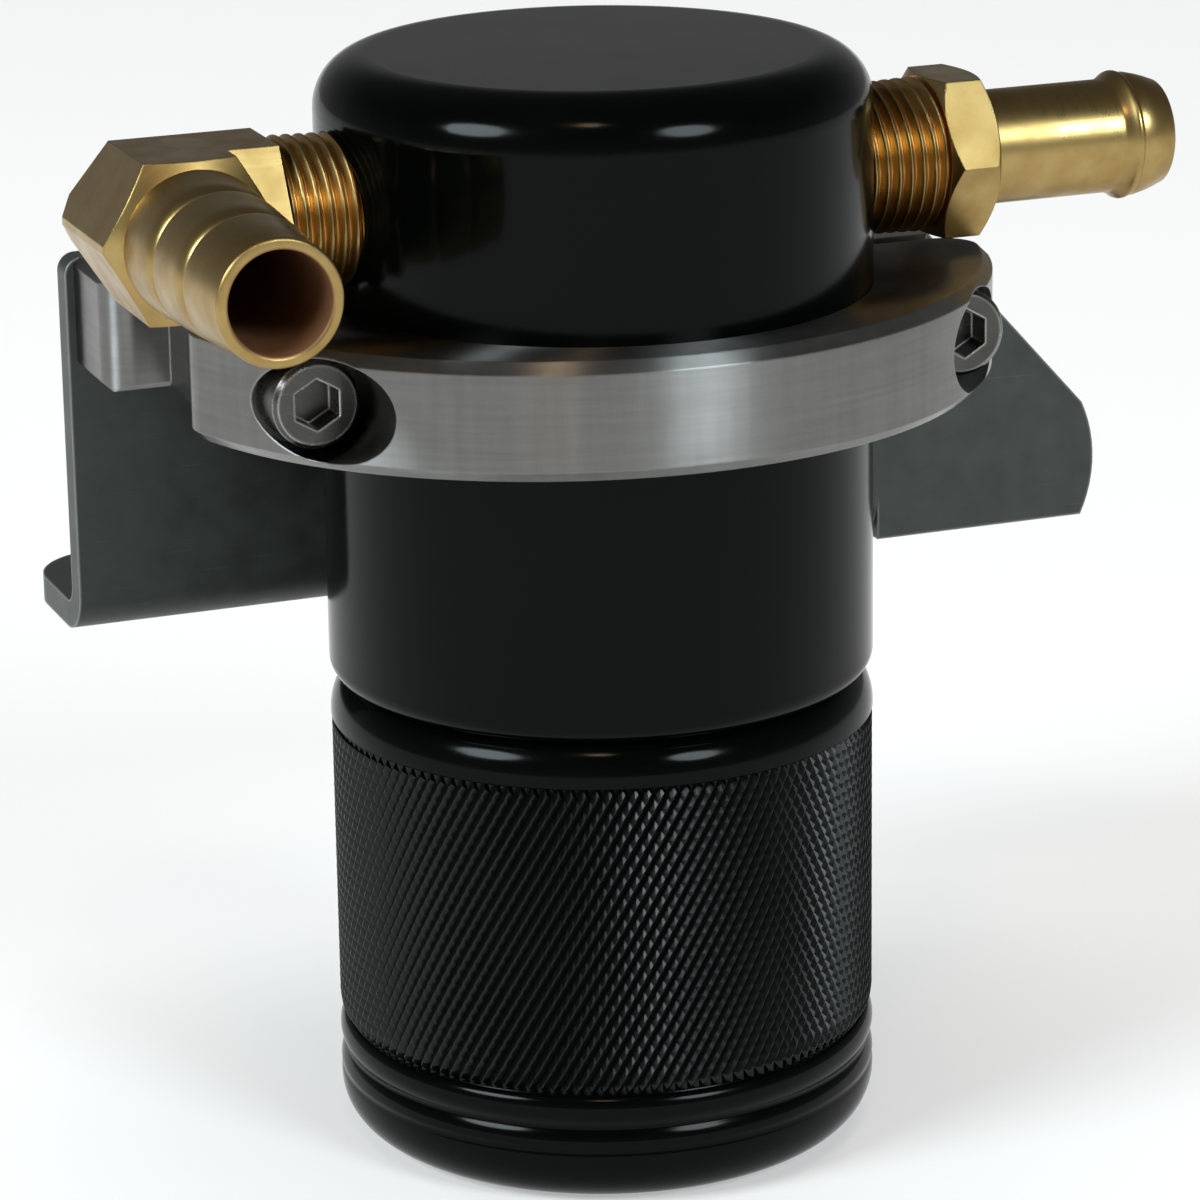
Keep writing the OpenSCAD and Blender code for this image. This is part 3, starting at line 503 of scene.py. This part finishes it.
def cup_outline():
    core = NECK_R - THREAD_DEPTH - 0.02
    skin = KNURL_ROOT - SKIN_UNDER_KNURL
    points = [(0.05, 0.0)]
    points += arc((CAN_R - BASE_ROUND, BASE_ROUND), BASE_ROUND, -90, 0, 14)
    points += [(CAN_R, 6.1), (CAN_R - 0.03, 6.25), (CAN_R - 0.1, 6.45), (CAN_R - 0.14, 6.7),
               (CAN_R - 0.1, 6.95), (CAN_R - 0.03, 7.15), (CAN_R, BAND_START)]
    points += arc((CAN_R - BAND_ROUND, BAND_START), BAND_ROUND, 0, 37, 12)[1:]
    points += [(CAN_R - 0.6, 9.2), (CAN_R - 0.59, 9.35), (CAN_R - 0.48, 9.65),
               (CAN_R - 0.28, 10.0), (CAN_R - 0.1, 10.45), (CAN_R - 0.02, 10.85)]
    points += oval((CAN_R - 0.95, 11.2), 0.95, 1.7, 0, 90, 10)
    points += [(CAN_R - 1.0, KNURL_LOW)]
    points += [(skin - knurl_drop(z), z)
               for z in np.linspace(KNURL_LOW + 0.1, KNURL_LOW + KNURL_EASE, 8)]
    points += [(skin, KNURL_HIGH - 0.1)]
    points += [(CAN_R - 0.16, KNURL_HIGH), (CAN_R, KNURL_HIGH + 0.16)]
    points += oval((CAN_R - SEAM_ROUND, KNURL_HIGH + 0.5), SEAM_ROUND,
                   SEAM_Z - KNURL_HIGH - 0.5, 0, 90, 16)
    points += [(NECK_R, SEAM_Z), (NECK_R, SEAL_LOW), (SEAL_R, SEAL_LOW), (SEAL_R, SEAL_HIGH),
               (NECK_R, SEAL_HIGH), (NECK_R, 57.3), (core, 57.3), (core, NECK_TOP - 0.2),
               (core - 0.2, NECK_TOP), (CUP_BORE_R + 0.3, NECK_TOP),
               (CUP_BORE_R, NECK_TOP - 0.3)]
    points += arc((CUP_BORE_R - CUP_BORE_ROUND, CUP_FLOOR + CUP_BORE_ROUND), CUP_BORE_ROUND,
                  0, -90, 8)
    points += [(0.05, CUP_FLOOR)]
    return points


cup_points, cup_faces = turned(cup_outline(), 240)
cup = new_piece("cup_shell", cup_points, cup_faces, can_black, "cup")
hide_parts("drain_cup")

# %% [markdown]
# ### Diamond knurling
# Two knurling wheels roll crossed grooves into the wall, 136 round the cup, at thirty
# degrees to its axis. One wheel cuts deeper than the other, so its ridges run on nearly
# whole, and light from the left draws them as fine slanting lines. What stays between
# the grooves is a field of small pyramids with slightly flattened tops. A texture would
# lose them at the outline and in an exported model, so each pyramid is built: four
# points in the grooves, four on its top, and two on the saddles to its neighbours.

# %% Knurling
KNURL_STARTS = 136
KNURL_ROWS = 29
TOP_SHARE = 0.11
END_DROP = 0.12
SADDLE = KNURL_ROOT + 0.96 * (KNURL_CREST - KNURL_ROOT)


def knurl_points():
    step = 2 * math.pi / KNURL_STARTS
    heights = np.linspace(KNURL_LOW, KNURL_HIGH, KNURL_ROWS + 1)
    place = lambda row, column: (column + 0.5 * (row % 2)) * step
    on_wall = lambda r, a, z: ((r - knurl_drop(z)) * math.cos(a) * MM,
                               (r - knurl_drop(z)) * math.sin(a) * MM, z * MM)
    points = [on_wall(KNURL_ROOT, place(row, c), heights[row])
              for row in range(KNURL_ROWS + 1) for c in range(KNURL_STARTS)]
    faces = []
    root = lambda row, c: row * KNURL_STARTS + c % KNURL_STARTS
    half = heights[1] - heights[0]
    for row in range(KNURL_ROWS + 1):
        for c in range(KNURL_STARTS):
            shift = c + row % 2
            left, right = root(row, c), root(row, c + 1)
            up = root(row + 1, shift) if row < KNURL_ROWS else None
            down = root(row - 1, shift) if row > 0 else None
            middle = place(row, c) + 0.5 * step
            z = heights[row]
            if up is None or down is None:
                points.append(on_wall(KNURL_CREST - END_DROP, middle, z))
                top = len(points) - 1
                if up is None:
                    faces += [(left, down, top), (down, right, top)]
                else:
                    faces += [(right, up, top), (up, left, top)]
                continue
            first = len(points)
            wide, tall = 0.5 * step * TOP_SHARE, half * TOP_SHARE
            points += [on_wall(KNURL_CREST, middle - wide, z),
                       on_wall(KNURL_CREST, middle, z - tall),
                       on_wall(KNURL_CREST, middle + wide, z),
                       on_wall(KNURL_CREST, middle, z + tall),
                       on_wall(SADDLE, middle - 0.25 * step, z - 0.5 * half),
                       on_wall(SADDLE, middle + 0.25 * step, z + 0.5 * half)]
            a, b, d, e, low, high = range(first, first + 6)
            faces += [(a, b, d, e), (up, left, a, e), (left, low, a), (e, high, up),
                      (down, right, d, b), (low, down, b), (right, high, d),
                      (low, b, a), (high, e, d)]
    return points, faces


knurl_verts, knurl_faces = knurl_points()
knurl = new_piece("cup_knurling", knurl_verts, knurl_faces, knurl_black, "cup",
                  smooth=False)

# %% [markdown]
# ## Threads
# A screw thread is one groove wound round a shaft. `wound_thread` makes it as a grid:
# the radius at each point depends on how far it has climbed along the pitch when it has
# gone round by its angle. The groove fades in and out at its ends, as where a die starts
# and stops. A taper thread also loses a little radius along its length.

# %% Thread helper
CREST_SHARE = 0.06
FLANK_SHARE = 0.38


def wound_thread(length, pitch, crest_r, depth, inner_r, taper=0.0, around=96, per_pitch=12,
                 fade_start=0.35, fade_end=0.8):
    """A closed skin about Z from 0 to length, in millimetres."""
    rows = int(length / pitch * per_pitch) + 1
    heights = np.linspace(0, length, rows)
    turn = np.linspace(0, 2 * math.pi, around, endpoint=False)
    z, a = np.meshgrid(heights, turn, indexing="ij")
    phase = (z / pitch - a / (2 * math.pi)) % 1.0
    groove = np.clip((np.abs(phase - 0.5) - CREST_SHARE) / FLANK_SHARE, 0, 1)
    start = np.clip(z / (fade_start * pitch), 0, 1)
    end = np.clip((length - z) / (fade_end * pitch), 0, 1)
    crest = crest_r - taper * z
    radius = crest - depth * (1 - (1 - groove) * start)
    radius = np.minimum(radius, crest - depth * (1 - end))
    rings = np.stack([radius * np.cos(a), radius * np.sin(a), z], 2).reshape(-1, 3)
    lids = [np.stack([inner_r * np.cos(turn), inner_r * np.sin(turn), np.full(around, h)], 1)
            for h in (length, 0)]
    points = np.concatenate([rings] + lids)
    faces = grid_faces(rows + 2, around)
    last = (rows + 1) * around
    faces += [(last + c, last + (c + 1) % around, (c + 1) % around, c) for c in range(around)]
    return points, faces


neck_points, neck_faces = wound_thread(THREAD_HIGH - THREAD_LOW, CUP_PITCH, NECK_R,
                                       THREAD_DEPTH, around=192, inner_r=NECK_R - 1.6)
neck_points = (neck_points + np.array([0, 0, THREAD_LOW])) * MM
neck = new_piece("cup_neck_thread", neck_points, neck_faces, can_black, "cup")

# %% [markdown]
# ## The brass fittings
# The straight fitting is one bar: taper thread, hexagon, hose tube with a bead. Each
# stretch is its own closed skin, and the skins overlap a little inside the metal.

# %% Sizes of the fittings, in millimetres
PORT_Z = 106.9
PIPE_R = 8.575
PIPE_PITCH = 1.411
PIPE_DEPTH = 0.847
TAPER = 1 / 32
THREAD_START = 38.55
ELBOW_START = 36.95
THREAD_TIP = 22.2
BORE_R = 4.75
HEX_FLAT_R = 8.73
HEX_LONG = 6.0
HEX_CUT = 0.95
HEX_FACE_SHY = 0.12
TUBE_R = 6.35
TUBE_LONG = 22.9


def laid(points, matrix):
    """Points in millimetres, moved by a matrix whose shift is in millimetres, in metres."""
    rotated = np.array(points) @ np.array(matrix.to_3x3()).T
    return (rotated + np.array(matrix.translation)) * MM


def both(*parts):
    """Several (points, faces) pairs as one pair."""
    points, faces, first = [], [], 0
    for some_points, some_faces in parts:
        points.append(np.array(some_points, float))
        faces += [tuple(first + i for i in face) for face in some_faces]
        first += len(some_points)
    return np.concatenate(points), faces


def hexagon_nut(flat_r, length, bore_r, cut, around=120):
    """A hexagonal prism about Z with turned chamfers at both ends and a bore."""
    corner = flat_r / math.cos(math.radians(30))
    face_r = flat_r - HEX_FACE_SHY
    angle = np.linspace(0, 2 * math.pi, around, endpoint=False)
    off_flat = (angle + math.radians(30)) % math.radians(60) - math.radians(30)
    across = flat_r / np.cos(off_flat)
    slope = cut / (corner - face_r)
    depth = np.clip((across - face_r) * slope, 0.02, None)
    rings = []
    for r, z in ((np.full(around, bore_r), np.zeros(around)),
                 (np.full(around, face_r), np.zeros(around)),
                 (across, depth), (across, length - depth),
                 (np.full(around, face_r), np.full(around, length)),
                 (np.full(around, bore_r), np.full(around, length))):
        rings.append(np.stack([r * np.cos(angle), r * np.sin(angle), z], 1))
    faces = grid_faces(6, around)
    last = 5 * around
    faces += [(last + c, last + (c + 1) % around, (c + 1) % around, c) for c in range(around)]
    return np.concatenate(rings), faces


print("pipe thread", 2 * PIPE_R, "mm across, pitch", PIPE_PITCH, "mm")

# %% [markdown]
# ### The straight fitting
# A bead near the tube's open end keeps the hose on. It rises steeply toward the hexagon
# and falls gently toward the mouth, so it is drawn as an outline and turned like the cup.

# %% The straight fitting
def tube_outline():
    """Closed outline of the beaded tube, from inside the hexagon to its open end."""
    end = HEX_LONG + TUBE_LONG
    bead = end - 6.2
    outline = [(BORE_R, HEX_LONG - 0.6), (TUBE_R, HEX_LONG - 0.6), (TUBE_R, bead - 0.35),
               (TUBE_R + 0.06, bead - 0.1), (6.75, bead + 0.55)]
    outline += arc((6.7, bead + 1.35), 0.5, -50, 75, 7)
    outline += [(6.95, bead + 2.6), (6.62, bead + 4.0), (6.3, end - 1.2), (6.05, end - 0.6)]
    outline += arc((5.5, end - 0.5), 0.5, 10, 90, 5)
    outline += [(5.15, end), (BORE_R + 0.1, end - 0.35), (BORE_R, end - 0.7)]
    return outline


def outward_along_x(side, x_mm, z_mm):
    """Matrix that lays a shape's +Z along +X or -X, with its foot at the given place."""
    turn = Matrix.Rotation(math.radians(90 * side), 4, "Y")
    return Matrix.Translation((x_mm, 0, z_mm)) @ turn


tube_points, tube_faces = turned(tube_outline(), 128)
thread_points, thread_faces = wound_thread(THREAD_START - THREAD_TIP, PIPE_PITCH, PIPE_R,
                                           PIPE_DEPTH, taper=TAPER, inner_r=BORE_R)
hex_points, hex_faces = hexagon_nut(HEX_FLAT_R, HEX_LONG, BORE_R, HEX_CUT)
straight_points, straight_faces = both(
    (laid(tube_points / MM, outward_along_x(1, THREAD_START, PORT_Z)), tube_faces),
    (laid(hex_points, outward_along_x(1, THREAD_START, PORT_Z)), hex_faces),
    (laid(thread_points, outward_along_x(-1, THREAD_START + 0.02, PORT_Z)), thread_faces))
straight = new_piece("straight_fitting_brass", straight_points, straight_faces,
                     brass_along_x, "can", sharp=28.0)
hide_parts("straight_fitting")

# %% [markdown]
# ### The elbow
# The elbow was forged or sawn from hexagon bar: two six-sided arms that meet on a
# mitre, with its outer corners blunted. A boolean would leave ragged shading there, so
# the body stays as the exact CAD solid: its mesh is copied, and cut off where its plain
# grooves start. The wound thread then takes the place of those grooves.

# %% The elbow's body, from a copy of its CAD mesh
import bmesh

ELBOW_X = -47.6
ELBOW_SHOULDER = 9.5
BARB_LONG = 28.5
ELBOW_BORE_R = 5.35
BARB_TIP_R = 7.2
BARB_STEP = 0.4
BARB_MOUTH_FALL = 0.8


def elbow_body_mesh():
    made = bmesh.new()
    made.from_mesh(nodes["elbow_fitting"].data)
    bmesh.ops.remove_doubles(made, verts=made.verts, dist=1e-6)
    everything = lambda: made.verts[:] + made.edges[:] + made.faces[:]
    bmesh.ops.bisect_plane(made, geom=everything(), plane_co=(-(ELBOW_START + 0.05) * MM, 0, 0),
                           plane_no=(1, 0, 0), clear_outer=True)
    bmesh.ops.bisect_plane(made, geom=everything(),
                           plane_co=(0, -(ELBOW_SHOULDER + 0.02) * MM, 0),
                           plane_no=(0, -1, 0), clear_outer=True)
    points = [v.co[:] for v in made.verts]
    faces = [tuple(v.index for v in face.verts) for face in made.faces]
    made.free()
    return np.array(points), faces


elbow_body = elbow_body_mesh()
print("elbow body", len(elbow_body[0]), "points")

# %% [markdown]
# The barb is turned: three rounded beads, each wider than the one before it. Their long
# slopes face the mouth and their steep edges face the body, so a hose slides on and
# won't come off. The valleys between are drawn a little deeper than in the plain solid,
# because from the front the beads would otherwise hide them.

# %% The elbow's barb and thread
def barb_outline():
    """Closed outline of the barb, z from the shoulder to the mouth."""
    pitch, end = (BARB_LONG - 0.8) / 3, BARB_LONG
    outline = [(ELBOW_BORE_R, -0.5), (BARB_TIP_R, -0.5), (BARB_TIP_R, 0.05)]
    for i in range(3):
        z, edge = i * pitch, BARB_TIP_R + BARB_STEP * (2 - i)
        outline += oval((edge - 0.7, z + 0.9), 0.7, 0.8, -70, 5, 9)
        if i < 2:
            outline += oval((edge - 1.1, z + pitch - 3.4), 0.85, 3.0, 5, 90, 12)
            outline += [(edge - 1.15, z + pitch)]
    foot = edge - BARB_MOUTH_FALL
    outline += [(foot + 0.1, end - 1.8), (foot, end - 1.2), (foot, end - 0.8)]
    outline += [(foot + 0.2, end - 0.62), (foot + 0.25, end - 0.45), (foot + 0.18, end - 0.2),
                (foot, end - 0.04), (foot - 0.2, end), (ELBOW_BORE_R + 0.35, end),
                (ELBOW_BORE_R + 0.08, end - 0.15), (ELBOW_BORE_R, end - 0.45)]
    return outline


to_front = (Matrix.Translation((ELBOW_X, -ELBOW_SHOULDER, PORT_Z))
            @ Matrix.Rotation(math.radians(90), 4, "X"))
barb_points, barb_faces = turned(barb_outline(), 128)
elbow_thread, elbow_thread_faces = wound_thread(ELBOW_START - THREAD_TIP, PIPE_PITCH, PIPE_R,
                                                PIPE_DEPTH, taper=TAPER, inner_r=BORE_R)
elbow_points, elbow_faces = both(
    elbow_body,
    (laid(barb_points / MM, to_front), barb_faces),
    (laid(elbow_thread, outward_along_x(1, -ELBOW_START - 0.02, PORT_Z)), elbow_thread_faces))
elbow = new_piece("elbow_brass", elbow_points, elbow_faces, brass_along_y, "can",
                  sharp=28.0)
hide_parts("elbow_fitting")

# %% [markdown]
# ## Stage and light
# A plain pale floor carries the can's shadow. Two fifths of its white come from itself,
# but only as the camera and glossy metal see it, so it adds no plain light to the can.

# %% Floor
FLOOR_HALF = 6.0
FLOOR_OWN_WHITE = 0.4
FLOOR_GAP = 0.0002


def add_floor():
    f = Finish("floor_pale", Roughness=0.85, Specular_IOR_Level=0.1)
    tone = f.noise(0.35, detail=2.0)
    f.set(Base_Color=f.mix(tone, rgb(0.88, 0.87, 0.865), rgb(0.9, 0.89, 0.885)))
    path = f.node("ShaderNodeLightPath").outputs
    seen = f.math("ADD", f.math("ADD", path["Is Camera Ray"], path["Is Glossy Ray"]),
                  path["Is Transmission Ray"], clamp=True)
    white = f.node("ShaderNodeEmission", Color=rgb(1, 1, 1), Strength=1.0)
    blend = f.node("ShaderNodeMixShader", Fac=f.math("MULTIPLY", seen, FLOOR_OWN_WHITE))
    f.put(blend.inputs[1], f.shader.outputs[0])
    f.put(blend.inputs[2], white.outputs[0])
    f.put(f.tree.nodes["Material Output"].inputs["Surface"], blend.outputs[0])
    mesh = bpy.data.meshes.new("floor")
    half = FLOOR_HALF
    mesh.from_pydata([(-half, -half, 0), (half, -half, 0), (half, half, 0), (-half, half, 0)],
                     [], [(0, 1, 2, 3)])
    mesh.materials.append(f.material)
    floor = bpy.data.objects.new("floor", mesh)
    bpy.context.scene.collection.objects.link(floor)
    floor.location.z = -FLOOR_GAP
    return floor


floor = add_floor()
print("floor", floor.name)

# %% [markdown]
# ### The lamps
# Two large soft lamps stand left and right of the camera, which gives the twin highlights
# on the can's rounded top and the two bright bands on the clamp. A small warm lamp above
# gives the warm spot between them. A soft even sky behind lights the floor and the back;
# gloss doesn't see it, because a sky has no edge that metal could show.

# %% Lamps
AIM = Vector((0.0, 0.0, 0.07))


def from_camera(azimuth, elevation):
    """Unit direction at an azimuth from the camera's own direction."""
    a = math.radians(azimuth + CAMERA_TURN)
    e = math.radians(elevation)
    return Vector((math.sin(a) * math.cos(e), -math.cos(a) * math.cos(e), math.sin(e)))


def add_lamp(name, azimuth, elevation, distance, wide, tall, power, colour):
    """A soft round lamp at a distance from the can, facing it."""
    data = bpy.data.lights.new(name, "AREA")
    data.shape = "ELLIPSE"
    data.size, data.size_y = wide, tall
    data.energy = power
    data.color = colour
    lamp = bpy.data.objects.new(name, data)
    bpy.context.scene.collection.objects.link(lamp)
    away = from_camera(azimuth, elevation)
    lamp.location = AIM + distance * away
    lamp.rotation_euler = away.to_track_quat("Z", "Y").to_euler()
    return lamp


add_lamp("soft_left", -54, 34, 2.2, 1.0, 0.85, 43.0, (0.84, 0.96, 1.0))
add_lamp("soft_right", 42, 32, 2.2, 0.75, 0.8, 25.5, (0.84, 0.96, 1.0))
add_lamp("warm_top", -2, 56, 1.6, 0.22, 0.2, 1.9, (1.0, 0.72, 0.45))


def add_sky(name, azimuth, elevation, strength, spread):
    """Even light from one side of the sky, so that the floor is as pale far off as near."""
    data = bpy.data.lights.new(name, "SUN")
    data.energy = strength
    data.angle = math.radians(spread)
    data.color = (1.0, 0.97, 0.95)
    sky = bpy.data.objects.new(name, data)
    bpy.context.scene.collection.objects.link(sky)
    away = from_camera(azimuth, elevation)
    sky.rotation_euler = away.to_track_quat("Z", "Y").to_euler()
    sky.visible_glossy = False
    return sky


add_sky("even_sky", 180, 74, 1.45, 60)

# %% [markdown]
# ### The room
# The world is a pale room, brightest at the horizon and darker overhead. Its colour
# depends only on the direction, so every view and every reflection sees the same room.

# %% World
def add_world():
    world = bpy.data.worlds.new("pale_room")
    world.use_nodes = True
    bpy.context.scene.world = world
    tree = world.node_tree
    back = tree.nodes["Background"]
    direction = tree.nodes.new("ShaderNodeTexCoord").outputs["Generated"]
    split = tree.nodes.new("ShaderNodeSeparateXYZ")
    tree.links.new(direction, split.inputs[0])
    ramp = tree.nodes.new("ShaderNodeValToRGB")
    tree.links.new(split.outputs["Z"], ramp.inputs[0])
    horizon, overhead = ramp.color_ramp.elements
    horizon.position, horizon.color = 0.0, rgb(0.3, 0.305, 0.3)
    overhead.position, overhead.color = 0.5, rgb(0.09, 0.09, 0.09)
    tree.links.new(ramp.outputs[0], back.inputs["Color"])
    back.inputs["Strength"].default_value = 1.0
    return world


world = add_world()
bpy.context.scene.view_settings.view_transform = "Standard"
print("world", world.name)
